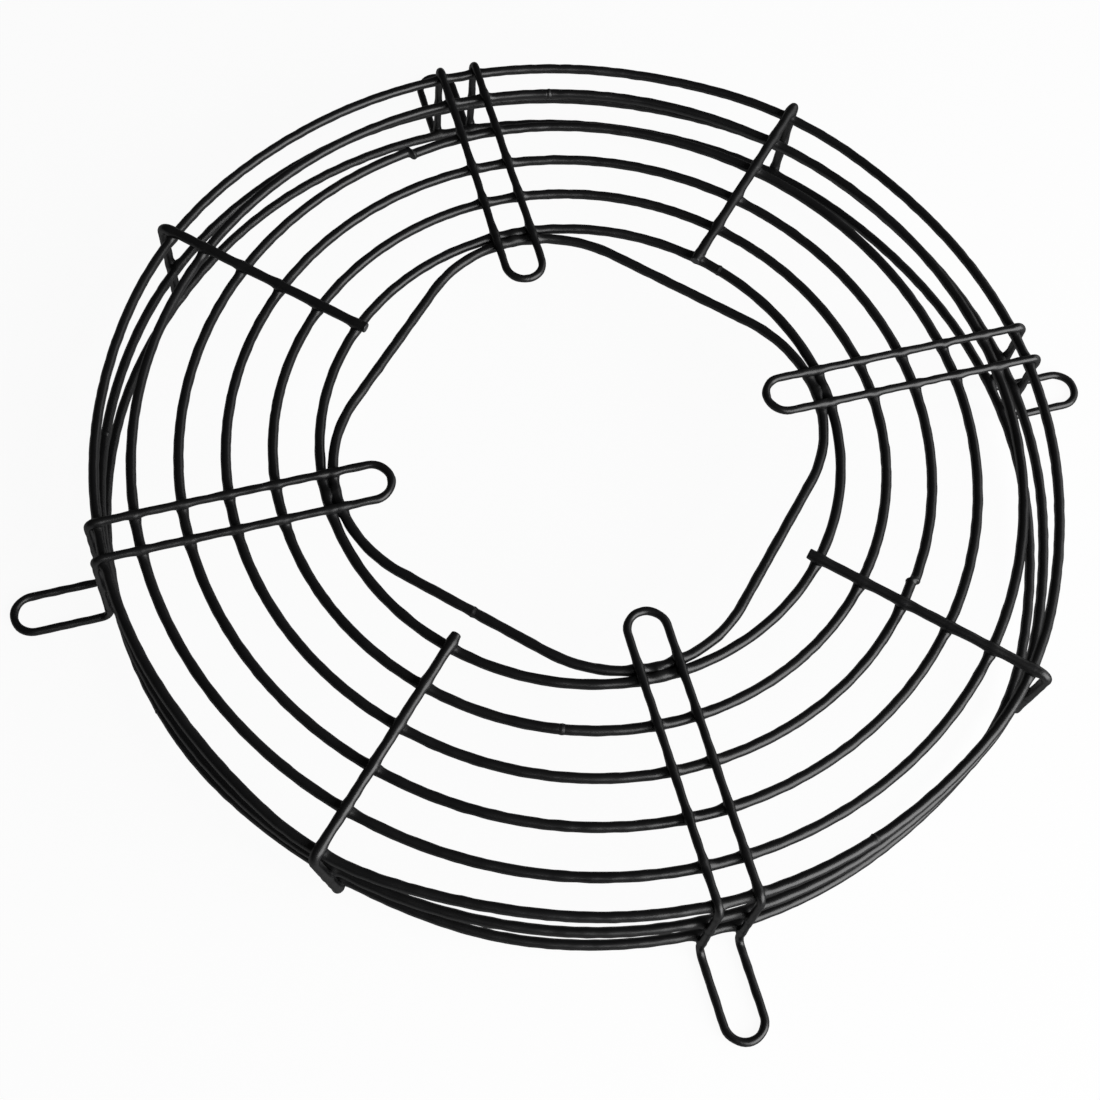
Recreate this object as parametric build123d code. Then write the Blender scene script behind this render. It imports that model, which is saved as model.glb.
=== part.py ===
"""Wire fan guard: bent steel wires, welded where they cross.

The guard stands on its four feet. The origin is on the standing plane, under the centre of the
rings. +Z points away from the fan, and the four mounting loops lie along X and Y.
"""
from build123d import *
import os
from math import asin, atan, cos, degrees, radians, sin, sqrt, tan

# Wire diameters, in millimetres
RING_WIRE = 3.0
LOOP_WIRE = 2.4
STAY_WIRE = 3.0

# Face rings, as radii of the wire's centre line
FIRST_RING_RADIUS = 76.5
RING_PITCH = 13.5

# Rim rings: step outwards from the last face ring, how far each one lies below the face, and
# the space under the lowest one
RIM_STEP = 10.5
RIM_RING_DROPS = (0.0, 15.0, 28.0)
RIM_LIFT = 6.0

# Motor ring: a rounded square whose corners touch the first face ring, one under each loop
MOTOR_RING_CORNER_RADIUS = 40.6
MOTOR_RING_JOINT = 225.0

# Mounting loops: the motor is bolted through their inner ends, and their outer ends are the feet
LOOP_COUNT = 4
LOOP_LEG_SPACING = 11.5
LOOP_INNER_OVERHANG = 16.0
FOOT_LENGTH = 27.3
FOOT_BEND_RADIUS = 3.0

# Stays: one wire each, from just inside the first face ring to just below the lowest rim ring
STAY_INNER_OVERHANG = 3.3
STAY_TAIL = 1.2
STAY_CUT_EDGE = 0.3

# Each stay by hand: how many degrees it is turned from halfway between two loops, how far its
# bend stands outside a truly round rim, and how many degrees its leg leans sideways
STAY_TURNS = (0.0, 0.8, 0.0, 0.0)
STAY_BEND_REACHES = (2.5, 2.0, 3.2, 3.3)
STAY_LEG_LEANS = (0.0, 2.0, 7.3, 6.4)

# How far the welded stays draw the top and the lowest rim ring out of round, and the turn in
# degrees from a stay to where the rings are round again
TOP_RIM_BULGES = (1.6, 0.9, 2.7, 1.6)
LOW_RIM_BULGES = (0.8, -0.5, -1.3, 2.4)
RIM_BULGE_TURN = 25.0

# How much tighter each bend over the rim is than one that would hug the ring
RIM_BEND_CLEARANCE = 0.2

# Butt joints of the rings: gap between the wire's ends, swell of the weld that fills it,
# and the turn in degrees over which the last end drifts inwards
JOINT_GAP = 0.3
JOINT_SWELL = 0.2
JOINT_DRIFT_TURN = 25.0

# Each face ring's joint: its angle in degrees, and how far the last end stands inwards
FACE_RING_JOINTS = ((39.6, 0.0), (250.0, 0.0), (320.2, 0.7), (101.4, 1.2), (78.2, 0.0))

# Each rim ring's joint: the angle of the loop that it is beside, and its place in the round
# stretch there, from -1 at one end of the stretch to 1 at the other
RIM_RING_JOINTS = ((270.0, 0.85), (180.0, -0.9), (180.0, 0.85))

# Distance between the centre lines of two wires that touch
RING_TO_RING = RING_WIRE
RING_TO_LOOP = (RING_WIRE + LOOP_WIRE) / 2
RING_TO_STAY = (RING_WIRE + STAY_WIRE) / 2

# Levels of the wires' centre lines above the standing plane
FOOT_LEVEL = LOOP_WIRE / 2
LOWEST_RIM_LEVEL = RIM_LIFT + RING_WIRE / 2
FACE_LEVEL = LOWEST_RIM_LEVEL + RIM_RING_DROPS[-1]
STAY_LEVEL = FACE_LEVEL + RING_TO_STAY

# Distances of the wires' centre lines from the axis
RIM_RADIUS = FIRST_RING_RADIUS + (len(FACE_RING_JOINTS) - 1) * RING_PITCH + RIM_STEP
MOTOR_RING_REACH = FIRST_RING_RADIUS - RING_TO_RING

UP = Vector(0, 0, 1)


def compass(angle):
    """The level unit vector at an angle in degrees from +X."""
    return Vector(cos(radians(angle)), sin(radians(angle)), 0)


def bend(corner, before, after, radius):
    """The arc of a radius that turns from the heading before to the heading after at a corner."""
    half_turn = radians(before.get_angle(after) / 2)
    setback = radius * tan(half_turn)
    to_centre = (after - before).normalized()
    middle = corner + to_centre * (radius / cos(half_turn) - radius)
    return ThreePointArc(corner - before * setback, middle, corner + after * setback)


def bend_wire(path, diameter):
    """A wire of round section that follows a path."""
    section = Plane(origin=path @ 0, z_dir=path % 0) * Circle(diameter / 2)
    return sweep(section, path=path)


def joined_wire(path):
    """A ring's wire along a path whose ends nearly meet, with a small round bead between them."""
    between_ends = (path @ 0 + path @ 1) / 2
    bead = Plane(origin=between_ends, z_dir=path % 0) * Sphere(RING_WIRE / 2 + JOINT_SWELL)
    return bend_wire(path, RING_WIRE) + bead


def face_ring(radius, joint_angle, joint_step):
    """A round ring: one arc, then a slightly tighter one that ends beside the start."""
    gap_turn = degrees(JOINT_GAP / radius)
    drift_turn = JOINT_DRIFT_TURN - gap_turn
    drift_start = joint_angle + 360 - JOINT_DRIFT_TURN
    shift = joint_step / (1 - cos(radians(drift_turn)))
    tight_radius = radius - shift
    extra_turn = degrees(asin(shift * sin(radians(drift_turn)) / tight_radius))
    centre = UP * FACE_LEVEL
    tight_centre = centre + compass(drift_start) * shift
    main_arc = CenterArc(centre, radius, joint_angle, 360 - JOINT_DRIFT_TURN)
    end_arc = CenterArc(tight_centre, tight_radius, drift_start, drift_turn + extra_turn)
    return joined_wire(Wire([main_arc.edge(), end_arc.edge()]))


def of_stay(values, index):
    """A stay's own value in a list, which starts again if there are more stays than values."""
    return values[index % len(values)]


def stay_angle(index):
    """The stays stand about halfway between the mounting loops."""
    return (index + 0.5) * 360 / LOOP_COUNT + of_stay(STAY_TURNS, index)


def bulge_arcs(angle, level, bulge):
    """Three tangent arcs that carry the rim out by a bulge at an angle, and back to its radius."""
    half_turn = RIM_BULGE_TURN / 2
    extra = bulge / (2 * (1 - cos(radians(half_turn))))
    side_radius = RIM_RADIUS + extra
    peak_radius = side_radius - 2 * extra * cos(radians(half_turn))
    centre = UP * level
    before = centre - compass(angle - RIM_BULGE_TURN) * extra
    peak = centre + compass(angle) * (RIM_RADIUS + bulge - peak_radius)
    after = centre - compass(angle + RIM_BULGE_TURN) * extra
    return [
        CenterArc(before, side_radius, angle - RIM_BULGE_TURN, half_turn).edge(),
        CenterArc(peak, peak_radius, angle - half_turn, RIM_BULGE_TURN).edge(),
        CenterArc(after, side_radius, angle + half_turn, half_turn).edge(),
    ]


def rim_ring(level, bulges, joint):
    """A ring of the rim: round beside the loops, and bulged where each stay is welded on."""
    loop_angle, place = joint
    loop_turn = 360 / LOOP_COUNT
    loop = round(loop_angle / loop_turn)
    half_round = loop_turn / 2 - RIM_BULGE_TURN
    half_gap = degrees(JOINT_GAP / 2 / RIM_RADIUS)
    joint_angle = loop * loop_turn + place * half_round
    centre = UP * level
    edges = []
    start = joint_angle + half_gap
    for index in range(loop, loop + LOOP_COUNT):
        end = stay_angle(index) - RIM_BULGE_TURN
        edges += [CenterArc(centre, RIM_RADIUS, start, end - start).edge()]
        edges += bulge_arcs(stay_angle(index), level, of_stay(bulges, index))
        start = stay_angle(index) + RIM_BULGE_TURN
    end = joint_angle + 360 - half_gap
    edges += [CenterArc(centre, RIM_RADIUS, start, end - start).edge()]
    return joined_wire(Wire(edges))


def motor_ring():
    """The rounded square: straights and bends in turn, welded in the middle of one straight."""
    corner_turn = 360 / LOOP_COUNT
    corner_offset = MOTOR_RING_REACH - MOTOR_RING_CORNER_RADIUS
    side_distance = corner_offset * cos(radians(corner_turn / 2)) + MOTOR_RING_CORNER_RADIUS
    joint = UP * FACE_LEVEL + compass(MOTOR_RING_JOINT) * side_distance
    half_gap = compass(MOTOR_RING_JOINT + 90) * (JOINT_GAP / 2)
    edges = []
    start = joint + half_gap
    for corner in range(LOOP_COUNT):
        side_angle = MOTOR_RING_JOINT + corner * corner_turn
        bend_centre = UP * FACE_LEVEL + compass(side_angle + corner_turn / 2) * corner_offset
        corner_arc = CenterArc(bend_centre, MOTOR_RING_CORNER_RADIUS, side_angle, corner_turn)
        edges += [Line(start, corner_arc @ 0).edge(), corner_arc.edge()]
        start = corner_arc @ 1
    edges += [Line(start, joint - half_gap).edge()]
    return joined_wire(Wire(edges))


def mounting_loop(angle):
    """A closed loop: round inner end, legs over the rings, bend down the rim, foot outwards."""
    out = Vector(1, 0, 0)
    side = Vector(0, 1, 0)
    half_spacing = LOOP_LEG_SPACING / 2
    bend_radius = RING_TO_LOOP - RIM_BEND_CLEARANCE
    leg_distance = sqrt((RIM_RADIUS + RING_TO_LOOP) ** 2 - half_spacing**2)
    top = FACE_LEVEL + RING_TO_LOOP
    tip_distance = MOTOR_RING_REACH - LOOP_INNER_OVERHANG
    foot_distance = RIM_RADIUS + RING_TO_LOOP + FOOT_LENGTH
    inner_corner = out * tip_distance + side * half_spacing + UP * top
    rim_corner = out * leg_distance + side * half_spacing + UP * top
    foot_corner = out * leg_distance + side * half_spacing + UP * FOOT_LEVEL
    outer_corner = out * foot_distance + side * half_spacing + UP * FOOT_LEVEL
    inner_end = bend(inner_corner, side, out, half_spacing)
    rim_bend = bend(rim_corner, out, -UP, bend_radius)
    foot_bend = bend(foot_corner, -UP, out, FOOT_BEND_RADIUS)
    outer_end = bend(outer_corner, out, -side, half_spacing)
    top_leg = Line(inner_end @ 1, rim_bend @ 0)
    drop = Line(rim_bend @ 1, foot_bend @ 0)
    foot_leg = Line(foot_bend @ 1, outer_end @ 0)
    parts = [inner_end, top_leg, rim_bend, drop, foot_bend, foot_leg, outer_end]
    half = bend_wire(Wire([part.edge() for part in parts]), LOOP_WIRE)
    whole = half + mirror(half, about=Plane.XZ)
    return Rot(0, 0, angle) * whole


def stay_slope(index):
    """How far a stay's leg draws in towards the axis for each millimetre that it goes down."""
    inward = of_stay(STAY_BEND_REACHES, index) - of_stay(LOW_RIM_BULGES, index)
    return inward / (STAY_LEVEL - LOWEST_RIM_LEVEL)


def stay_side_gap(index):
    """Level distance from a ring's centre line to the sloping leg that touches its side."""
    return RING_TO_STAY / cos(atan(stay_slope(index)))


def middle_bulges(level):
    """The bulges that bring a rim ring between the top and the lowest one to the stays' legs."""
    rise = level - LOWEST_RIM_LEVEL
    return [of_stay(LOW_RIM_BULGES, n) + stay_slope(n) * rise for n in range(LOOP_COUNT)]


def stay(index):
    """A straight wire over the rings, bent down outside the rim, with both ends cut square."""
    out = Vector(1, 0, 0)
    side = Vector(0, 1, 0)
    bend_radius = RING_TO_STAY - RIM_BEND_CLEARANCE
    drop = STAY_LEVEL - LOWEST_RIM_LEVEL
    rim_line = RIM_RADIUS + stay_side_gap(index)
    sideways = drop * tan(radians(of_stay(STAY_LEG_LEANS, index)))
    inner_tip = out * (FIRST_RING_RADIUS - STAY_INNER_OVERHANG) + UP * STAY_LEVEL
    corner = out * (rim_line + of_stay(STAY_BEND_REACHES, index)) + UP * STAY_LEVEL
    low_distance = rim_line + of_stay(LOW_RIM_BULGES, index)
    low_contact = out * low_distance + side * sideways + UP * LOWEST_RIM_LEVEL
    down = (low_contact - corner).normalized()
    rim_bend = bend(corner, out, down, bend_radius)
    top_run = Line(inner_tip, rim_bend @ 0)
    leg = Line(rim_bend @ 1, low_contact + down * STAY_TAIL)
    wire = bend_wire(Wire([top_run.edge(), rim_bend.edge(), leg.edge()]), STAY_WIRE)
    cut_ends = wire.faces().filter_by(GeomType.PLANE)
    return Rot(0, 0, stay_angle(index)) * fillet(cut_ends.edges(), STAY_CUT_EDGE)


def make_pieces():
    """Every wire of the guard, by name."""
    pieces = {"motor_ring": motor_ring()}
    for index, (joint_angle, joint_step) in enumerate(FACE_RING_JOINTS):
        radius = FIRST_RING_RADIUS + index * RING_PITCH
        pieces[f"face_ring_{index + 1}"] = face_ring(radius, joint_angle, joint_step)
    for index, (ring_drop, joint) in enumerate(zip(RIM_RING_DROPS, RIM_RING_JOINTS)):
        level = FACE_LEVEL - ring_drop
        bulges = TOP_RIM_BULGES if index == 0 else middle_bulges(level)
        pieces[f"rim_ring_{index + 1}"] = rim_ring(level, bulges, joint)
    for index in range(LOOP_COUNT):
        pieces[f"mounting_loop_{index + 1}"] = mounting_loop(index * 360 / LOOP_COUNT)
        pieces[f"stay_{index + 1}"] = stay(index)
    return pieces


os.makedirs("parts", exist_ok=True)
for name, piece in make_pieces().items():
    export_step(piece, f"parts/{name}.step")
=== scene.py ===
"""Looks of the wire fan guard: coated wires with their welds, cut ends and butt joints.

Lengths are in millimetres up to the mesh, which is in metres, and angles are in degrees. The face
of the guard looks up, and the four mounting loops lie along X and Y.
"""

import bpy
import numpy as np
from mathutils import Matrix, Vector


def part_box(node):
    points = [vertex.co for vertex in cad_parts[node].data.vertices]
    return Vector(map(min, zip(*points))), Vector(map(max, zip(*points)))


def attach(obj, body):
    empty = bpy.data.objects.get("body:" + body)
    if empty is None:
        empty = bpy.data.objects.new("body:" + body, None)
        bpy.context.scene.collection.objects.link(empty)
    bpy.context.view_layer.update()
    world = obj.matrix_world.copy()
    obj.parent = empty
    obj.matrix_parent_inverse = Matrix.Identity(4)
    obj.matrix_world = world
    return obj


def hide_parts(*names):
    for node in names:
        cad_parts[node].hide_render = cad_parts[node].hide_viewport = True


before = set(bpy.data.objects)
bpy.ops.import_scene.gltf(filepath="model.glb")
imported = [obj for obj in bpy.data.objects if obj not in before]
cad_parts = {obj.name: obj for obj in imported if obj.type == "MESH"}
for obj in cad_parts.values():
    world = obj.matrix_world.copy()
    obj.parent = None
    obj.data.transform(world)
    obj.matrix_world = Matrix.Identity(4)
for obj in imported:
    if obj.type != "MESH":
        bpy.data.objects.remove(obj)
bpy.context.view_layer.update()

MM = 0.001

# Wire diameters
RING_WIRE = 3.0
LOOP_WIRE = 2.4
STAY_WIRE = 3.0

# Rings, as radii of the wire's centre line
FIRST_RING_RADIUS = 76.5
RING_PITCH = 13.5
FACE_RING_COUNT = 5
FACE_RADII = FIRST_RING_RADIUS + RING_PITCH * np.arange(FACE_RING_COUNT)
RIM_STEP = 10.5
RIM_RADIUS = FACE_RADII[-1] + RIM_STEP
RIM_DROPS = (0.0, 15.0, 28.0)
MOTOR_CORNER_RADIUS = 40.6
MOTOR_JOINT = 225.0

# Butt joints: the gap between a wire's ends, and the turn over which the last end drifts inwards
JOINT_GAP = 0.3
JOINT_DRIFT_TURN = 25.0

# Each face ring's joint: its angle, and how far the last end stands inwards
FACE_JOINTS = ((39.6, 0.0), (250.0, 0.0), (320.2, 0.7), (101.4, 1.2), (78.2, 0.0))

# Each rim ring's joint: the angle of the loop that it is beside, and its place in the round
# stretch there, from -1 at one end of the stretch to 1 at the other
RIM_JOINTS = ((270.0, 0.85), (180.0, -0.9), (180.0, 0.85))

# Mounting loops
LOOP_COUNT = 4
LEG_SPACING = 11.5
LOOP_INNER_OVERHANG = 16.0
FOOT_LENGTH = 27.3
FOOT_BEND_RADIUS = 3.0
RIM_BEND_CLEARANCE = 0.2

# Stays, one by one: its turn, how far its bend stands outside the rim, and its leg's lean
STAY_INNER_OVERHANG = 3.3
STAY_TAIL = 1.2
STAY_TURNS = (0.0, 0.8, 0.0, 0.0)
STAY_BEND_REACHES = (2.5, 2.0, 3.2, 3.3)
STAY_LEANS = (0.0, 2.0, 7.3, 6.4)

# How far each stay draws the top and the lowest rim ring out of round, and over what turn
TOP_BULGES = (1.6, 0.9, 2.7, 1.6)
LOW_BULGES = (0.8, -0.5, -1.3, 2.4)
BULGE_TURN = 25.0

# Distances between the centre lines of wires that touch
RING_TO_LOOP = (RING_WIRE + LOOP_WIRE) / 2
RING_TO_STAY = (RING_WIRE + STAY_WIRE) / 2
MOTOR_REACH = FACE_RADII[0] - RING_WIRE

# Levels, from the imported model
ring_low, ring_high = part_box("face_ring_1")
FACE_LEVEL = (ring_low.z + ring_high.z) / 2 / MM
LOW_LEVEL = FACE_LEVEL - RIM_DROPS[-1]
STAY_LEVEL = FACE_LEVEL + RING_TO_STAY
LOOP_LEVEL = FACE_LEVEL + RING_TO_LOOP
FOOT_LEVEL = LOOP_WIRE / 2

UP = np.array([0.0, 0.0, 1.0])
OUT = np.array([1.0, 0.0, 0.0])
SIDE = np.array([0.0, 1.0, 0.0])
LEVEL_ONLY = np.array([1.0, 1.0, 0.0])

# Mesh: points along a centre line, rows along a skin far from and close to a weld, rows for each
# radian of a bend and the sharpest bend that counts, and faces round a wire
FINE_STEP = 0.2
ROW_STEP = 1.6
WELD_ROW_STEP = 0.28
ROWS_PER_RADIAN = 6
SHARPEST_BEND = 0.5
WIRE_SIDES = 28

# Welds at crossings: how far the metal and the coat spread, along and round the wire
WELD_SPREAD = 0.95
WELD_REACH = 1.8
WELD_WRAP = 0.8
WELD_LUMPS = 0.35
LUMP_LENGTH = 2.6
CROWD_REACH = 1.4 * WELD_REACH

# Search for welds: every third point of one wire, near the other one, with some slack
SEARCH_STRIDE = 3
SEARCH_MARGIN = 5.0
TOUCH_SLACK = 0.25

# Rolling marks: how far the wire's skin swells and sinks along it, and over what length
WAVER = 0.15
WAVER_LENGTH = 6.5

# Bumpy fields: how many sines, their lengths as shares of the stated one, and their most turns
# round the wire
WAVES = 9
WAVE_SHARES = (0.6, 1.8)
MOST_TURNS = 2

# Cut ends: the rounded edge of a stay's and of a ring's, the rows on it, the rings of points on
# the flat end as shares of its radius, and how far in the coat is thin
CUT_EDGE = 0.3
JOINT_EDGE = 0.6
EDGE_ROWS = 5
EDGE_CLEARANCE = 1.5
END_SHARES = np.array([0.35, 0.7])[:, None, None]
CUT_FADE = 0.35

# Butt welds of the rings: the bead, the crossing where the ends don't line up, and the flash
BEAD_HALF_LENGTH = 2.4
BEAD_ROWS = 33
BEAD_REACH = 1.1
BEAD_SWELL = 0.12
BEAD_STEP_SWELL = 0.2
BEAD_SINK = 0.15
BEAD_CROSSING = 1.0
BEAD_LUMPS = 0.5
BEAD_LUMP_LENGTH = 1.8
BEAD_WAVES = 7
FLASH_REACH = 0.2
FLASH_HEIGHT = 0.1

# Seeds: a wire's lumps have the wire's number, and its waver and its bead that number past these
WAVER_SEED = 50
BEAD_SEED = 100

# Coat, in metres: handled patches, the swells of orange peel, and fine grit, drawn twice as
# coarse as real so that it shows
PATCH_SIZE = 0.022
PEEL_SIZE = 0.0016
PEEL_HEIGHT = 0.00006
PEEL_STRENGTH = 0.35
GRIT_SIZE = 0.0004
GRIT_HEIGHT = 0.00002
GRIT_STRENGTH = 0.25

# Coat: its roughness over the span of the handled patches, and how much rougher a weld is
PATCH_SPAN = (0.3, 0.7)
PATCH_ROUGHNESS = (0.29, 0.4)
WELD_ROUGHNESS = 0.12
COAT_IOR = 1.5

# Coat: its shine over a span of slants, from facing the eye to edge on, and the share of steel
# that shows over a span of the mark of cut ends
SHINE_SLANTS = (0.5, 0.75)
SHINE_LEVELS = (0.5, 0.04)
WEAR_SPAN = (0.55, 1.0)
WEAR_SHARES = (0.0, 0.15)

# Camera, and the middle of the face from the lens, in metres
VIEW_TURN = 21.73
VIEW_TIP = -28.0
VIEW_ROLL = 7.08
FACE_FROM_LENS = (0.02365, -0.01827, 0.5407)
SENSOR_WIDTH = 36.0
FOCAL_LENGTH = 60.36
LENS_SHIFT = (0.0445, -0.0418)

# Floor: half its width, and how far it lies under the feet, in metres
FLOOR_REACH = 4.0
FLOOR_GAP = 0.0002

# The paper: how much of its light the camera sees as a plain white glow, and how bright it is in
# the coat's shine
PAPER_GLOW = 0.94
PAPER_SHEEN = 0.3

# Lights: the even room, and each lamp's azimuth, elevation, distance, size and power
ROOM_LIGHT = 0.04
FRONT_LIGHT = (-52.0, 24.0, 1.1, 1.2, 26.0)
SIDE_LIGHT = (10.0, 18.0, 1.2, 0.9, 2.4)


def compass(angle):
    """Level unit vectors at angles from +X, as rows."""
    turn = np.radians(np.atleast_1d(np.asarray(angle, float)))
    return np.stack([np.cos(turn), np.sin(turn), np.zeros_like(turn)], axis=1)


def level_arc(centre, radius, start, turn):
    """Points of a level arc: the centre plus the radius times the unit vector at each angle."""
    count = int(abs(np.radians(turn)) * radius / FINE_STEP) + 2
    return centre + radius * compass(np.linspace(start, start + turn, count))


def straight(start, end):
    """Evenly spaced points from start to end."""
    count = int(np.linalg.norm(end - start) / FINE_STEP) + 2
    return start + (end - start) * np.linspace(0, 1, count)[:, None]


def corner_bend(corner, before, after, radius):
    """Points of the arc that turns from one heading to another at a corner: the arc's centre plus
    the radius times the first heading times the sine of the turn so far, less the radius times
    the direction square to it in the bend's plane times the cosine."""
    square = after - before * (before @ after)
    square = square / np.linalg.norm(square)
    turn = np.arccos(before @ after)
    start = corner - before * radius * np.tan(turn / 2)
    centre = start + square * radius
    so_far = np.linspace(0, turn, int(turn * radius / FINE_STEP) + 6)[:, None]
    return centre + radius * (before * np.sin(so_far) - square * np.cos(so_far))


def joined(stretches):
    """Stretches of a path end to end, without the points that they share."""
    return np.vstack([stretches[0]] + [stretch[1:] for stretch in stretches[1:]])


def turned(points, angle):
    """Points turned about the axis of the rings."""
    cosine, sine = np.cos(np.radians(angle)), np.sin(np.radians(angle))
    return points @ np.array([[cosine, sine, 0], [-sine, cosine, 0], [0, 0, 1]])


def face_ring_path(radius, joint_angle, joint_step):
    """One arc, then a slightly tighter one whose end stands inwards of the start."""
    drift = JOINT_DRIFT_TURN - np.degrees(JOINT_GAP / radius)
    drift_start = joint_angle + 360 - JOINT_DRIFT_TURN
    shift = joint_step / (1 - np.cos(np.radians(drift)))
    tight = radius - shift
    extra = np.degrees(np.arcsin(shift * np.sin(np.radians(drift)) / tight))
    centre = UP * FACE_LEVEL
    main = level_arc(centre, radius, joint_angle, 360 - JOINT_DRIFT_TURN)
    end = level_arc(centre + compass(drift_start) * shift, tight, drift_start, drift + extra)
    return joined([main, end])


def stay_angle(index):
    """The stays stand about halfway between the loops."""
    return (index + 0.5) * 360 / LOOP_COUNT + STAY_TURNS[index % LOOP_COUNT]


def bulge_path(angle, level, bulge):
    """Three tangent arcs that carry the rim out by a bulge and back."""
    half = BULGE_TURN / 2
    extra = bulge / (2 * (1 - np.cos(np.radians(half))))
    side_radius = RIM_RADIUS + extra
    peak_radius = side_radius - 2 * extra * np.cos(np.radians(half))
    centre = UP * level
    before = centre - compass(angle - BULGE_TURN) * extra
    peak = centre + compass(angle) * (RIM_RADIUS + bulge - peak_radius)
    after = centre - compass(angle + BULGE_TURN) * extra
    return [
        level_arc(before, side_radius, angle - BULGE_TURN, half),
        level_arc(peak, peak_radius, angle - half, BULGE_TURN),
        level_arc(after, side_radius, angle + half, half),
    ]


def rim_ring_path(level, bulges, joint):
    """Round beside the loops, bulged at the stays, from one side of the joint to the other."""
    loop_angle, place = joint
    loop_turn = 360 / LOOP_COUNT
    loop = round(loop_angle / loop_turn)
    half_gap = np.degrees(JOINT_GAP / 2 / RIM_RADIUS)
    joint_angle = loop * loop_turn + place * (loop_turn / 2 - BULGE_TURN)
    stretches = []
    start = joint_angle + half_gap
    for index in range(loop, loop + LOOP_COUNT):
        end = stay_angle(index) - BULGE_TURN
        stretches += [level_arc(UP * level, RIM_RADIUS, start, end - start)]
        stretches += bulge_path(stay_angle(index), level, bulges[index % LOOP_COUNT])
        start = stay_angle(index) + BULGE_TURN
    end = joint_angle + 360 - half_gap
    return joined(stretches + [level_arc(UP * level, RIM_RADIUS, start, end - start)])


def motor_ring_path():
    """A rounded square from the middle of one side round to the same place."""
    corner_turn = 360 / LOOP_COUNT
    offset = MOTOR_REACH - MOTOR_CORNER_RADIUS
    side_distance = offset * np.cos(np.radians(corner_turn / 2)) + MOTOR_CORNER_RADIUS
    joint = UP * FACE_LEVEL + compass(MOTOR_JOINT)[0] * side_distance
    half_gap = compass(MOTOR_JOINT + 90)[0] * (JOINT_GAP / 2)
    stretches = []
    start = joint + half_gap
    for corner in range(LOOP_COUNT):
        side_angle = MOTOR_JOINT + corner * corner_turn
        centre = UP * FACE_LEVEL + compass(side_angle + corner_turn / 2) * offset
        arc = level_arc(centre, MOTOR_CORNER_RADIUS, side_angle, corner_turn)
        stretches += [straight(start, arc[0]), arc]
        start = arc[-1]
    return joined(stretches + [straight(start, joint - half_gap)])


def loop_path(angle):
    """Half a loop from its inner tip to its outer tip, and the other half mirrored back."""
    half = LEG_SPACING / 2
    drop_distance = np.sqrt((RIM_RADIUS + RING_TO_LOOP) ** 2 - half**2)
    tip = MOTOR_REACH - LOOP_INNER_OVERHANG
    foot = RIM_RADIUS + RING_TO_LOOP + FOOT_LENGTH
    inner = OUT * (tip + half) + UP * LOOP_LEVEL
    outer = OUT * (foot - half) + UP * FOOT_LEVEL
    rim_corner = OUT * drop_distance + SIDE * half + UP * LOOP_LEVEL
    foot_corner = OUT * drop_distance + SIDE * half + UP * FOOT_LEVEL
    inner_arc = level_arc(inner, half, 180, -90)
    rim_bend = corner_bend(rim_corner, OUT, -UP, RING_TO_LOOP - RIM_BEND_CLEARANCE)
    foot_bend = corner_bend(foot_corner, -UP, OUT, FOOT_BEND_RADIUS)
    outer_arc = level_arc(outer, half, 90, -90)
    one_half = joined([
        inner_arc,
        straight(inner_arc[-1], rim_bend[0]),
        rim_bend,
        straight(rim_bend[-1], foot_bend[0]),
        foot_bend,
        straight(foot_bend[-1], outer_arc[0]),
        outer_arc,
    ])
    other_half = one_half[::-1][1:] * np.array([1, -1, 1])
    return turned(joined([one_half, other_half]), angle)


def stay_slope(index):
    """How far a leg draws in for each millimetre that it goes down."""
    return (STAY_BEND_REACHES[index] - LOW_BULGES[index]) / (STAY_LEVEL - LOW_LEVEL)


def stay_path(index):
    """Over the rings, round the rim's bend, and down the leg to its cut end."""
    drop = STAY_LEVEL - LOW_LEVEL
    rim_line = RIM_RADIUS + RING_TO_STAY / np.cos(np.arctan(stay_slope(index)))
    sideways = drop * np.tan(np.radians(STAY_LEANS[index]))
    inner = OUT * (FACE_RADII[0] - STAY_INNER_OVERHANG) + UP * STAY_LEVEL
    corner = OUT * (rim_line + STAY_BEND_REACHES[index]) + UP * STAY_LEVEL
    contact = OUT * (rim_line + LOW_BULGES[index]) + SIDE * sideways + UP * LOW_LEVEL
    down = (contact - corner) / np.linalg.norm(contact - corner)
    bend = corner_bend(corner, OUT, down, RING_TO_STAY - RIM_BEND_CLEARANCE)
    path = [straight(inner, bend[0]), bend, straight(bend[-1], contact + down * STAY_TAIL)]
    return turned(joined(path), stay_angle(index))


def middle_bulges(level):
    """The bulges that bring a middle rim ring to the sloping legs."""
    return [LOW_BULGES[n] + stay_slope(n) * (level - LOW_LEVEL) for n in range(LOOP_COUNT)]


class Wire:
    """One wire: its centre line, its radius, whether it closes, and where it is welded."""

    def __init__(self, name, path, diameter, closed=False):
        self.name = name
        self.path = path
        self.radius = diameter / 2
        self.closed = closed
        self.weld_places = []
        self.weld_headings = []


def ring_wires():
    """The motor ring, the face rings from the inside out, and the rim rings from the top down."""
    rings = [Wire("motor_ring", motor_ring_path(), RING_WIRE)]
    for index, (radius, joint) in enumerate(zip(FACE_RADII, FACE_JOINTS)):
        rings += [Wire(f"face_ring_{index + 1}", face_ring_path(radius, *joint), RING_WIRE)]
    for index, (drop, joint) in enumerate(zip(RIM_DROPS, RIM_JOINTS)):
        level = FACE_LEVEL - drop
        bulges = TOP_BULGES if index == 0 else middle_bulges(level)
        rings += [Wire(f"rim_ring_{index + 1}", rim_ring_path(level, bulges, joint), RING_WIRE)]
    return rings


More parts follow.
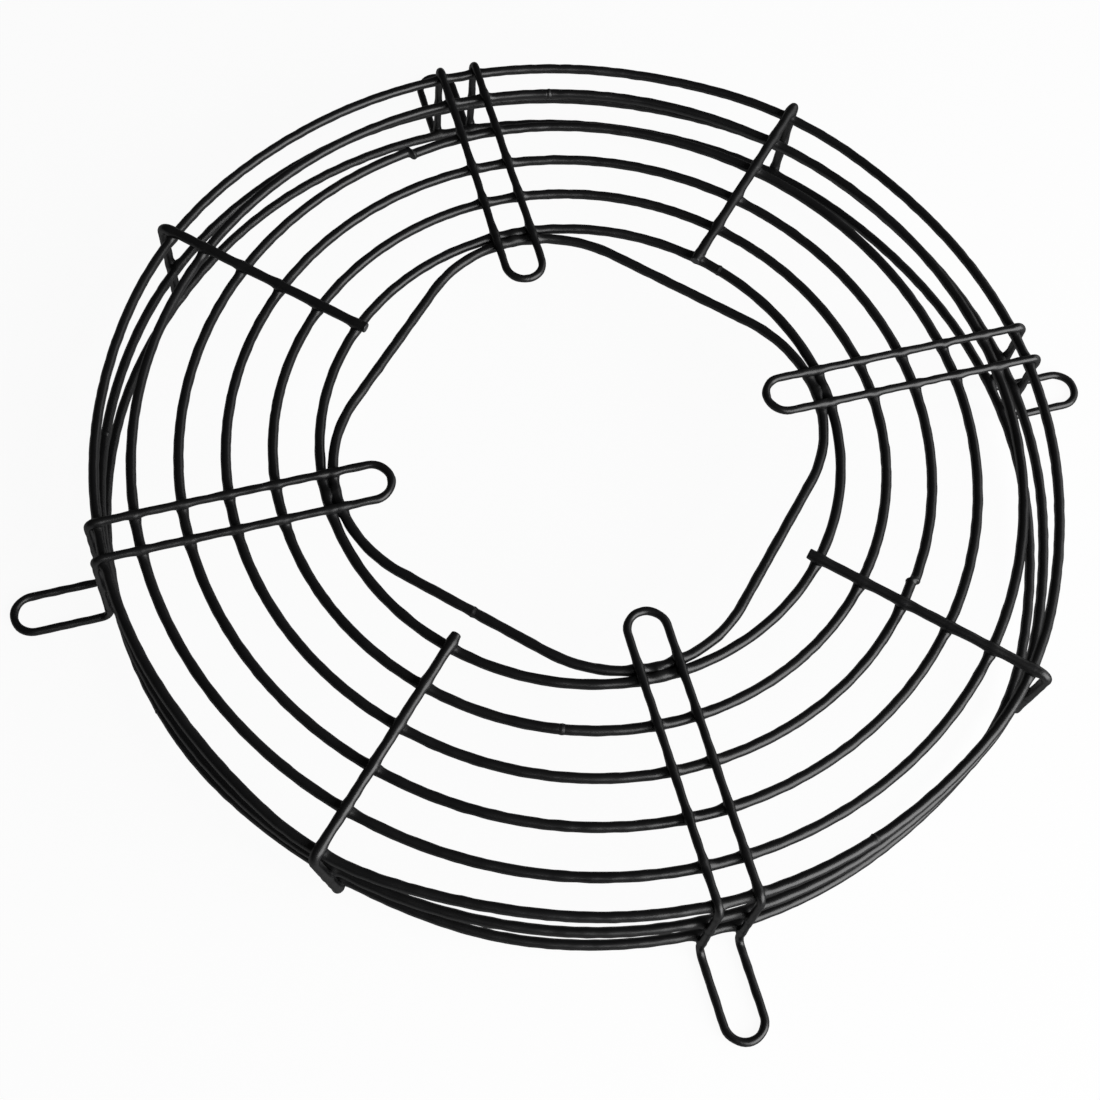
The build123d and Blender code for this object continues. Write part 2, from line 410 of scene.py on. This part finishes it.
def crossing_wires():
    """The mounting loops and the stays, in turn."""
    across = []
    for index in range(LOOP_COUNT):
        path = loop_path(index * 360 / LOOP_COUNT)
        across += [Wire(f"mounting_loop_{index + 1}", path, LOOP_WIRE, closed=True)]
        across += [Wire(f"stay_{index + 1}", stay_path(index), STAY_WIRE)]
    return across


def find_welds(one, other):
    """Notes each weld of two wires: where the distance between their centre lines is least and
    no more than touching."""
    near = other.path[::SEARCH_STRIDE]
    highest, lowest = near.max(0) + SEARCH_MARGIN, near.min(0) - SEARCH_MARGIN
    inside = np.where(np.all((one.path < highest) & (one.path > lowest), axis=1))[0]
    if len(inside) == 0:
        return
    gaps = np.full(len(one.path), np.inf)
    nearest = np.zeros(len(one.path), int)
    apart = np.linalg.norm(one.path[inside][:, None, :] - near[None, :, :], axis=2)
    gaps[inside] = apart.min(1)
    nearest[inside] = apart.argmin(1)
    touching = gaps < one.radius + other.radius + TOUCH_SLACK
    edges = np.flatnonzero(np.diff(np.r_[False, touching, False].astype(int)))
    for start, stop in zip(edges[::2], edges[1::2]):
        row = start + int(gaps[start:stop].argmin())
        here, there = one.path[row], near[nearest[row]]
        heading = (there - here) / np.linalg.norm(there - here)
        one.weld_places.append(here)
        one.weld_headings.append(heading)
        other.weld_places.append(there)
        other.weld_headings.append(-heading)


def rows_along(wire):
    """Distances along the wire of its centre line's points and of its skin's rows. The rows crowd
    at welds, ends and bends: the running total of a density is stepped evenly, where the density
    has a bell at each weld and end, and is no less than the bend's sharpness asks for."""
    steps = np.linalg.norm(np.diff(wire.path, axis=0), axis=1)
    along = np.r_[0, np.cumsum(steps)]
    special = [wire.path[0]] + ([] if wire.closed else [wire.path[-1]]) + wire.weld_places
    apart = np.linalg.norm(wire.path[:, None, :] - np.array(special)[None, :, :], axis=2).min(1)
    bends = np.linalg.norm(np.diff(wire.path, 2, axis=0), axis=1) / FINE_STEP**2
    bends = np.r_[bends[0], bends, bends[-1]]
    density = 1 / ROW_STEP + (1 / WELD_ROW_STEP) * np.exp(-((apart / CROWD_REACH) ** 2))
    density = np.maximum(density, np.minimum(bends, SHARPEST_BEND) * ROWS_PER_RADIAN)
    total = np.r_[0, np.cumsum((density[1:] + density[:-1]) / 2 * steps)]
    count = int(total[-1]) + 1
    return along, np.interp(np.linspace(0, total[-1], count), total, along)


def noise(along, around, seed, waves, reach):
    """A smooth bumpy field: a sum of sines along and around the wire with seeded phases."""
    chance = np.random.default_rng(seed)
    field = np.zeros(np.broadcast(along, around).shape)
    for _ in range(waves):
        length = reach * chance.uniform(*WAVE_SHARES)
        turns = chance.integers(-MOST_TURNS, MOST_TURNS + 1)
        phase = chance.uniform(0, 2 * np.pi)
        field += np.sin(2 * np.pi * along / length + turns * around + phase)
    return field / waves


def unit_rows(vectors):
    """Each row scaled to length one."""
    return vectors / np.linalg.norm(vectors, axis=1, keepdims=True)


def section_side(wire, centre):
    """A direction square to the wire at each row that turns smoothly along it: up for a ring,
    square to its plane for a stay, and outwards from its own middle line for a loop."""
    if "ring" in wire.name:
        return np.tile(UP, (len(centre), 1))
    if "stay" in wire.name:
        square = np.cross(wire.path[3] - wire.path[0], wire.path[-1] - wire.path[-3])
        return np.tile(square / np.linalg.norm(square), (len(centre), 1))
    out = wire.path.mean(0) * LEVEL_ONLY
    out = out / np.linalg.norm(out)
    ends = wire.path @ out
    middle = np.clip(centre @ out, ends.min() + LEG_SPACING / 2, ends.max() - LEG_SPACING / 2)
    return unit_rows((centre - middle[:, None] * out) * LEVEL_ONLY)


def round_section(centre, heading, side):
    """Unit vectors square to the wire at each row and angle: cos times the side direction plus
    sin times the direction square to it and to the wire."""
    side = unit_rows(side - heading * np.sum(side * heading, axis=1, keepdims=True))
    third = np.cross(heading, side)
    angle = np.linspace(0, 2 * np.pi, WIRE_SIDES, endpoint=False)[None, :, None]
    return side[:, None, :] * np.cos(angle) + third[:, None, :] * np.sin(angle), angle[:, :, 0]


def corner_uvs(along, grid, closed):
    """The UV of each face corner on a grid of rows by angles: the distance along the wire, and
    the distance round it."""
    ahead = np.r_[along[1:], along[-1] + ROW_STEP] if closed else along[1:]
    here = np.broadcast_to(along[: len(ahead), None], grid)
    there = np.broadcast_to(ahead[:, None], grid)
    column = np.arange(grid[1])[None, :]
    side_width = np.pi * RING_WIRE / grid[1]
    left = np.broadcast_to(column * side_width, grid)
    right = np.broadcast_to((column + 1) * side_width, grid)
    corner_u = np.stack([here, here, there, there], axis=-1)
    corner_v = np.stack([left, right, right, left], axis=-1)
    return np.stack([corner_u, corner_v], axis=-1).reshape(-1, 2)


def shell(points, along, marks, closed):
    """One closed skin: a grid of rows by angles, ended by a pole at each end unless it closes on
    itself. Returns its vertices, faces, the UV of each face corner, and its marks."""
    rows, sides = points.shape[:2]
    row = np.arange(rows if closed else rows - 1)[:, None]
    column = np.arange(sides)[None, :]
    here, there = row * sides, (row + 1) % rows * sides
    beside = (column + 1) % sides
    quads = np.stack([here + column, here + beside, there + beside, there + column], axis=-1)
    faces = quads.reshape(-1, 4).tolist()
    corners = corner_uvs(along, quads.shape[:2], closed)
    vertices = points.reshape(-1, 3)
    marks = {name: values.reshape(-1) for name, values in marks.items()}
    if closed:
        return vertices, faces, corners, marks
    first_pole, last_pole = len(vertices), len(vertices) + 1
    column, beside = column[0], beside[0]
    last_row = (rows - 1) * sides
    faces += np.stack([np.full(sides, first_pole), beside, column], axis=-1).tolist()
    last_fan = [np.full(sides, last_pole), last_row + column, last_row + beside]
    faces += np.stack(last_fan, axis=-1).tolist()
    vertices = np.vstack([vertices, points[0].mean(0), points[-1].mean(0)])
    fan_corners = [np.tile([along[end], 0.0], (3 * sides, 1)) for end in (0, -1)]
    corners = np.vstack([corners] + fan_corners)
    marks = {name: np.r_[values, values[0], values[-1]] for name, values in marks.items()}
    return vertices, faces, corners, marks


def weld_field(wire, centre, normal):
    """How near each point of the skin is to a weld, up to one: a bell of the distance along the
    wire times one of how far the point faces away from the other wire."""
    field = np.zeros(normal.shape[:2])
    for place, side in zip(wire.weld_places, wire.weld_headings):
        apart = np.linalg.norm(centre - place, axis=1)[:, None]
        facing = np.clip(normal @ side, -1, 1)
        field = np.maximum(field, np.exp(-((apart / WELD_REACH) ** 2) + (facing - 1) / WELD_WRAP))
    return field


def end_rows(rows, length, edge):
    """The rows of a wire with cut ends: steps of a quarter circle over each rounded edge, and the
    given rows between them."""
    steps = edge * (1 - np.cos(np.linspace(0, np.pi / 2, EDGE_ROWS)))
    clear = EDGE_CLEARANCE * edge
    inner = rows[(rows > clear) & (rows < length - clear)]
    return np.r_[steps, inner, length - steps[::-1]]


def flat_ends(centre, points):
    """The skin's rows with rings of points added on its two flat ends."""
    first = centre[0] + (points[0] - centre[0]) * END_SHARES
    last = centre[-1] + (points[-1] - centre[-1]) * END_SHARES[::-1]
    return np.concatenate([first, points, last])


def with_ends(values):
    """A row's values said again for the rings of points on the flat ends."""
    extra = len(END_SHARES)
    return np.concatenate([values[:1]] * extra + [values] + [values[-1:]] * extra)


def wire_shell(wire, seed):
    """The wire's skin: at each row the centre plus the radius times the section's unit vectors.
    The radius grows in a bell towards every wire that it is welded to, and draws in over the
    rounded edge of a cut end, by a quarter circle."""
    along, rows = rows_along(wire)
    length = along[-1]
    edge = JOINT_EDGE if "ring" in wire.name else CUT_EDGE
    if not wire.closed:
        rows = end_rows(rows, length, edge)
    centre = np.stack([np.interp(rows, along, wire.path[:, axis]) for axis in range(3)], axis=1)
    if wire.closed:
        centre, rows = centre[:-1], rows[:-1]
        heading = unit_rows(np.roll(centre, -1, axis=0) - np.roll(centre, 1, axis=0))
    else:
        heading = unit_rows(np.gradient(centre, rows, axis=0))
    normal, angle = round_section(centre, heading, section_side(wire, centre))
    weld = weld_field(wire, centre, normal)
    lumps = noise(rows[:, None], angle, seed, WAVES, LUMP_LENGTH)
    waver = WAVER * noise(rows[:, None], angle, seed + WAVER_SEED, WAVES, WAVER_LENGTH)
    radius = wire.radius + waver + WELD_SPREAD * weld * (1 + WELD_LUMPS * lumps)
    if wire.closed:
        points = centre[:, None, :] + normal * radius[:, :, None]
        return shell(points, rows, {"weld": weld, "cut": np.zeros_like(weld)}, True)
    from_end = np.minimum(rows, length - rows)
    short = edge - np.minimum(from_end, edge)
    radius = radius - (edge - np.sqrt(edge**2 - short**2))[:, None]
    cut = np.exp(-from_end / CUT_FADE)[:, None] * np.ones_like(weld)
    points = flat_ends(centre, centre[:, None, :] + normal * radius[:, :, None])
    marks = {"weld": with_ends(weld), "cut": with_ends(cut)}
    return shell(points, with_ends(rows), marks, False)


def bead_shell(wire, seed):
    """The upset weld that joins a ring's two ends: a skin turned about the wire, whose radius is
    a wide low bell with a narrow flash line on it, and whose centre crosses from one end to the
    other in an S where the ends don't line up. The S is three squares less two cubes of the
    share of the way."""
    start, end = wire.path[0], wire.path[-1]
    heading = unit_rows((wire.path[2] - start + end - wire.path[-3])[None, :])
    along = BEAD_HALF_LENGTH * np.sin(np.linspace(-np.pi / 2, np.pi / 2, BEAD_ROWS))
    share = np.clip(along / BEAD_CROSSING + 0.5, 0, 1)
    share = (share**2 * (3 - 2 * share))[:, None]
    step = (start - end) - heading * ((start - end) @ heading[0])
    centre = (start + end) / 2 + heading * along[:, None] + step * (share - 0.5)
    headings = np.repeat(heading, BEAD_ROWS, axis=0)
    normal, angle = round_section(centre, headings, np.tile(UP, (BEAD_ROWS, 1)))
    lumps = noise(along[:, None], angle, seed, BEAD_WAVES, BEAD_LUMP_LENGTH)
    bell = np.exp(-((along / BEAD_REACH) ** 2))[:, None]
    flash = np.exp(-((along / FLASH_REACH) ** 2))[:, None]
    swell = BEAD_SWELL + BEAD_STEP_SWELL * np.linalg.norm(step)
    radius = wire.radius - BEAD_SINK + (BEAD_SINK + swell * (1 + BEAD_LUMPS * lumps)) * bell
    radius = radius + FLASH_HEIGHT * flash * (1 + lumps)
    points = centre[:, None, :] + normal * radius[:, :, None]
    marks = {"weld": bell * np.ones_like(radius), "cut": np.zeros_like(radius)}
    return shell(points, along - along[0], marks, False)


def mesh_piece(name, shells, material):
    """A smooth-shaded mesh of one or more skins, with a UV in metres and its marks as attributes."""
    vertices, faces, corners, marks = [], [], [], {}
    for part_vertices, part_faces, part_corners, part_marks in shells:
        first = sum(len(part) for part in vertices)
        faces += [[first + corner for corner in face] for face in part_faces]
        vertices.append(part_vertices)
        corners.append(part_corners)
        for mark, values in part_marks.items():
            marks.setdefault(mark, []).append(values)
    mesh = bpy.data.meshes.new(name)
    mesh.from_pydata((np.vstack(vertices) * MM).tolist(), [], faces)
    mesh.polygons.foreach_set("use_smooth", np.ones(len(faces), bool))
    uv = mesh.uv_layers.new(name="along_the_wire")
    uv.data.foreach_set("uv", (np.vstack(corners) * MM).ravel().astype(np.float32))
    for mark, values in marks.items():
        layer = mesh.attributes.new(mark, "FLOAT", "POINT")
        layer.data.foreach_set("value", np.concatenate(values).astype(np.float32))
    mesh.materials.append(material)
    mesh.update()
    piece = bpy.data.objects.new(name, mesh)
    bpy.context.scene.collection.objects.link(piece)
    return piece


def linear(colour):
    """An sRGB hex colour as linear RGBA."""
    value = np.array([int(colour[start : start + 2], 16) for start in (1, 3, 5)]) / 255
    low = value <= 0.04045
    return (*np.where(low, value / 12.92, ((value + 0.055) / 1.055) ** 2.4), 1.0)


def add(tree, kind, inputs=(), **settings):
    """Adds a node. Inputs are pairs of a socket's name or number and a value or another socket."""
    made = tree.nodes.new(kind)
    for name, value in settings.items():
        setattr(made, name, value)
    for socket, value in dict(inputs).items():
        if isinstance(value, bpy.types.NodeSocket):
            tree.links.new(value, made.inputs[socket])
        else:
            made.inputs[socket].default_value = value
    return made


def new_material(name):
    """An empty node material and its tree."""
    material = bpy.data.materials.new(name)
    material.use_nodes = True
    material.node_tree.nodes.clear()
    return material, material.node_tree


def black_powder_coat():
    """Black epoxy powder coat on drawn steel wire: near black and half glossy, with the low
    swells of the melted powder, duller and lumpier at the welds, and thinner over the cut ends,
    where a little grey steel shows through. Its shine fades where the skin is seen edge on, so
    the wires' outlines stay black, as in the photograph."""
    material, tree = new_material("black_epoxy_powder_coat")
    place = add(tree, "ShaderNodeTexCoord").outputs["Object"]
    weld = add(tree, "ShaderNodeAttribute", attribute_name="weld").outputs["Fac"]
    cut = add(tree, "ShaderNodeAttribute", attribute_name="cut").outputs["Fac"]
    patches = {"Vector": place, "Scale": 1 / PATCH_SIZE, "Detail": 3}
    handled = add(tree, "ShaderNodeTexNoise", patches).outputs["Fac"]
    swells = {"Vector": place, "Scale": 1 / PEEL_SIZE, "Detail": 2}
    peel = add(tree, "ShaderNodeTexNoise", swells).outputs["Fac"]
    grains = {"Vector": place, "Scale": 1 / GRIT_SIZE, "Detail": 1}
    grit = add(tree, "ShaderNodeTexNoise", grains).outputs["Fac"]

    # Colour: two blacks in patches, with grey steel under the thin coat of the cut ends
    blacks = {0: handled, 6: linear("#0b0b0c"), 7: linear("#131314")}
    black = add(tree, "ShaderNodeMix", blacks, data_type="RGBA").outputs[2]
    wear = enumerate((cut, *WEAR_SPAN, *WEAR_SHARES))
    worn = add(tree, "ShaderNodeMapRange", wear).outputs[0]
    layers = {0: worn, 6: black, 7: linear("#6b6c6e")}
    colour = add(tree, "ShaderNodeMix", layers, data_type="RGBA").outputs[2]

    # Roughness: more in some patches, and at the welds
    dulling = enumerate((handled, *PATCH_SPAN, *PATCH_ROUGHNESS))
    dull = add(tree, "ShaderNodeMapRange", dulling).outputs[0]
    rougher = {0: weld, 1: WELD_ROUGHNESS, 2: dull}
    rough = add(tree, "ShaderNodeMath", rougher, operation="MULTIPLY_ADD").outputs[0]

    # Relief: orange peel, with the grit on it
    relief = {"Height": peel, "Strength": PEEL_STRENGTH, "Distance": PEEL_HEIGHT}
    low_swell = add(tree, "ShaderNodeBump", relief).outputs[0]
    relief = {
        "Height": grit,
        "Strength": GRIT_STRENGTH,
        "Distance": GRIT_HEIGHT,
        "Normal": low_swell,
    }
    fine_swell = add(tree, "ShaderNodeBump", relief).outputs[0]

    # Shine: full where the skin faces the eye, and nearly gone where it is seen edge on
    slant = add(tree, "ShaderNodeLayerWeight", {"Blend": 0.5}).outputs["Facing"]
    fading = enumerate((slant, *SHINE_SLANTS, *SHINE_LEVELS))
    shine = add(tree, "ShaderNodeMapRange", fading).outputs[0]

    finish = {
        "Base Color": colour,
        "Roughness": rough,
        "IOR": COAT_IOR,
        "Specular IOR Level": shine,
        "Normal": fine_swell,
    }
    surface = add(tree, "ShaderNodeBsdfPrincipled", finish).outputs[0]
    add(tree, "ShaderNodeOutputMaterial", {"Surface": surface})
    return material


def white_backdrop():
    """Matt white paper that the camera sees as white, with the guard's soft shadow kept."""
    material, tree = new_material("white_paper")
    rays = add(tree, "ShaderNodeLightPath").outputs
    either = {0: rays["Is Glossy Ray"], 1: rays["Is Transmission Ray"]}
    mirrored = add(tree, "ShaderNodeMath", either, operation="MAXIMUM").outputs[0]
    brightness = {0: mirrored, 1: PAPER_SHEEN, 2: rays["Is Camera Ray"]}
    strength = add(tree, "ShaderNodeMath", brightness, operation="MULTIPLY_ADD").outputs[0]
    mixture = {0: rays["Is Camera Ray"], 1: PAPER_GLOW, 2: mirrored}
    share = add(tree, "ShaderNodeMath", mixture, operation="MULTIPLY_ADD").outputs[0]
    paper = add(tree, "ShaderNodeBsdfDiffuse", {"Color": linear("#f4f4f4")}).outputs[0]
    white = {"Color": linear("#ffffff"), "Strength": strength}
    glow = add(tree, "ShaderNodeEmission", white).outputs[0]
    both = add(tree, "ShaderNodeMixShader", {0: share, 1: paper, 2: glow}).outputs[0]
    add(tree, "ShaderNodeOutputMaterial", {"Surface": both})
    return material


def make_floor():
    """The paper under the feet."""
    reach = FLOOR_REACH
    corners = [(-reach, -reach, 0), (reach, -reach, 0), (reach, reach, 0), (-reach, reach, 0)]
    mesh = bpy.data.meshes.new("floor")
    mesh.from_pydata(corners, [], [(0, 1, 2, 3)])
    mesh.materials.append(white_backdrop())
    floor = bpy.data.objects.new("floor", mesh)
    floor.location.z = -FLOOR_GAP
    bpy.context.scene.collection.objects.link(floor)


def make_room():
    """A dim even room that the camera sees as white."""
    world = bpy.data.worlds.new("studio")
    bpy.context.scene.world = world
    world.use_nodes = True
    tree = world.node_tree
    tree.nodes.clear()
    seen = add(tree, "ShaderNodeLightPath").outputs["Is Camera Ray"]
    brightness = {0: seen, 1: 1 - ROOM_LIGHT, 2: ROOM_LIGHT}
    strength = add(tree, "ShaderNodeMath", brightness, operation="MULTIPLY_ADD").outputs[0]
    white = {"Color": linear("#ffffff"), "Strength": strength}
    room = add(tree, "ShaderNodeBackground", white).outputs[0]
    add(tree, "ShaderNodeOutputWorld", {"Surface": room})


def soft_light(name, azimuth, elevation, distance, size, power):
    """A square lamp at an angle round the guard, turned to its middle."""
    lamp = bpy.data.lights.new(name, "AREA")
    lamp.shape = "SQUARE"
    lamp.size = size
    lamp.energy = power
    turn, rise = np.radians(azimuth), np.radians(elevation)
    away = Vector((np.cos(turn) * np.cos(rise), np.sin(turn) * np.cos(rise), np.sin(rise)))
    light = bpy.data.objects.new(name, lamp)
    light.location = away * distance
    light.rotation_euler = away.to_track_quat("Z", "Y").to_euler()
    bpy.context.scene.collection.objects.link(light)


def make_camera():
    """The photograph's camera. It looks straight down with the guard turned, then tips back and
    rolls. Its place is given by where the middle of the face lies in front of the lens."""
    turn = Matrix.Rotation(np.radians(VIEW_TURN), 3, "Z")
    tip = Matrix.Rotation(np.radians(VIEW_TIP), 3, "X")
    roll = Matrix.Rotation(np.radians(VIEW_ROLL), 3, "Z")
    look_down = Matrix(((1, 0, 0), (0, -1, 0), (0, 0, -1)))
    to_lens = roll @ tip @ look_down @ turn
    middle = Vector((0, 0, FACE_LEVEL * MM))
    spot = middle - to_lens.transposed() @ Vector(FACE_FROM_LENS)
    right, down, ahead = to_lens
    lens = bpy.data.cameras.new("camera")
    lens.sensor_width = SENSOR_WIDTH
    lens.lens = FOCAL_LENGTH
    lens.shift_x, lens.shift_y = LENS_SHIFT
    camera = bpy.data.objects.new("camera", lens)
    turned_axes = Matrix((right, -down, -ahead)).transposed()
    camera.matrix_world = Matrix.Translation(spot) @ turned_axes.to_4x4()
    bpy.context.scene.collection.objects.link(camera)
    bpy.context.scene.camera = camera


# The guard: where its wires are welded, and a coated skin for each one
coat = black_powder_coat()
rings = ring_wires()
across = crossing_wires()
motor_ring, first_face_ring = rings[:2]
for wire in across:
    for ring in rings:
        find_welds(wire, ring)
find_welds(motor_ring, first_face_ring)
for number, wire in enumerate(rings + across):
    shells = [wire_shell(wire, seed=number)]
    if "ring" in wire.name:
        shells += [bead_shell(wire, seed=BEAD_SEED + number)]
    piece = mesh_piece(f"{wire.name}_coated", shells, coat)
    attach(piece, "root")
    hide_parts(wire.name)

# The studio
make_floor()
make_room()
make_camera()
soft_light("front_right_softbox", *FRONT_LIGHT)
soft_light("side_reflector", *SIDE_LIGHT)
bpy.context.scene.view_settings.view_transform = "Standard"
